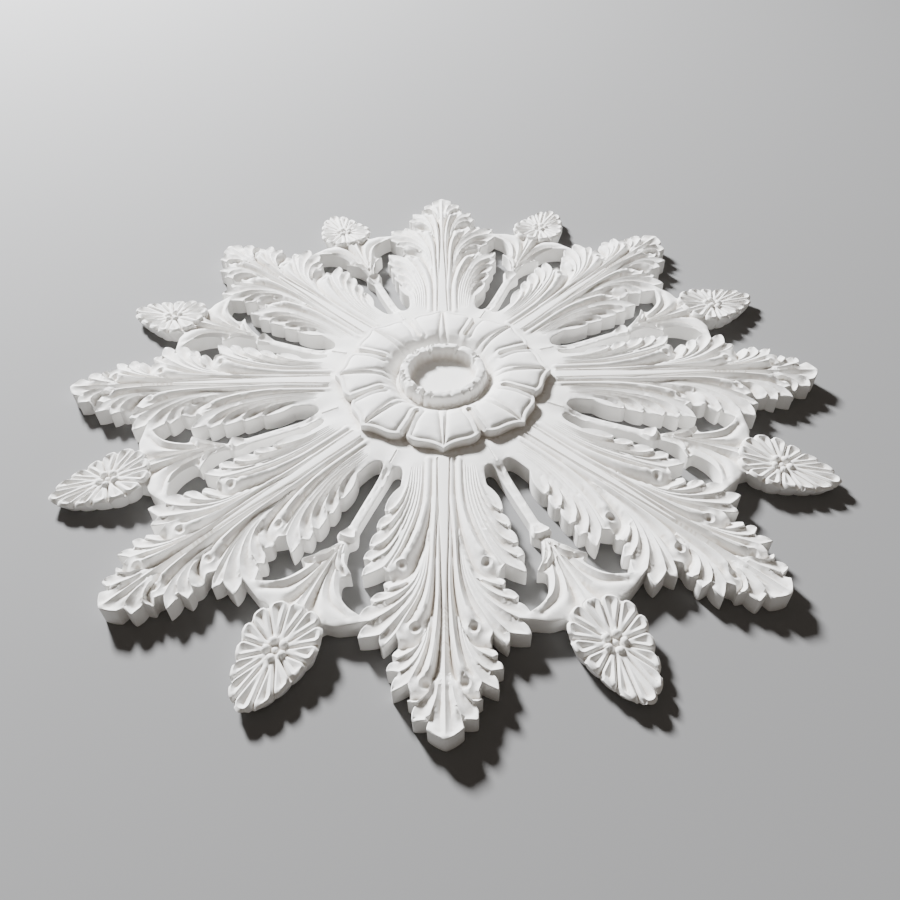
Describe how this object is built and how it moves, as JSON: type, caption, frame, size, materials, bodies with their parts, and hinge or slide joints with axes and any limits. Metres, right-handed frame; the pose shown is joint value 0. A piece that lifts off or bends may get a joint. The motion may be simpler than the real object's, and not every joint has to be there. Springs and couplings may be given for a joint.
{
  "type": "ceiling rose",
  "caption": "Round pierced plaster ceiling rose: acanthus leaves in a star, flowers on curling stems between them, and a petalled boss with a cup for a lamp's hook.",
  "frame": {"origin": "centre of the flat back, which lies against the ceiling", "axes": "+Z out of the carved face, away from the ceiling; +Y and +X each point to a leaf tip"},
  "size_m": [1, 1, 0.0425],
  "materials": {
    "plaster": "matte, bare white cast plaster"
  },
  "bodies": {
    "root": {"rose_casting": "plaster"}
  },
  "joints": []
}
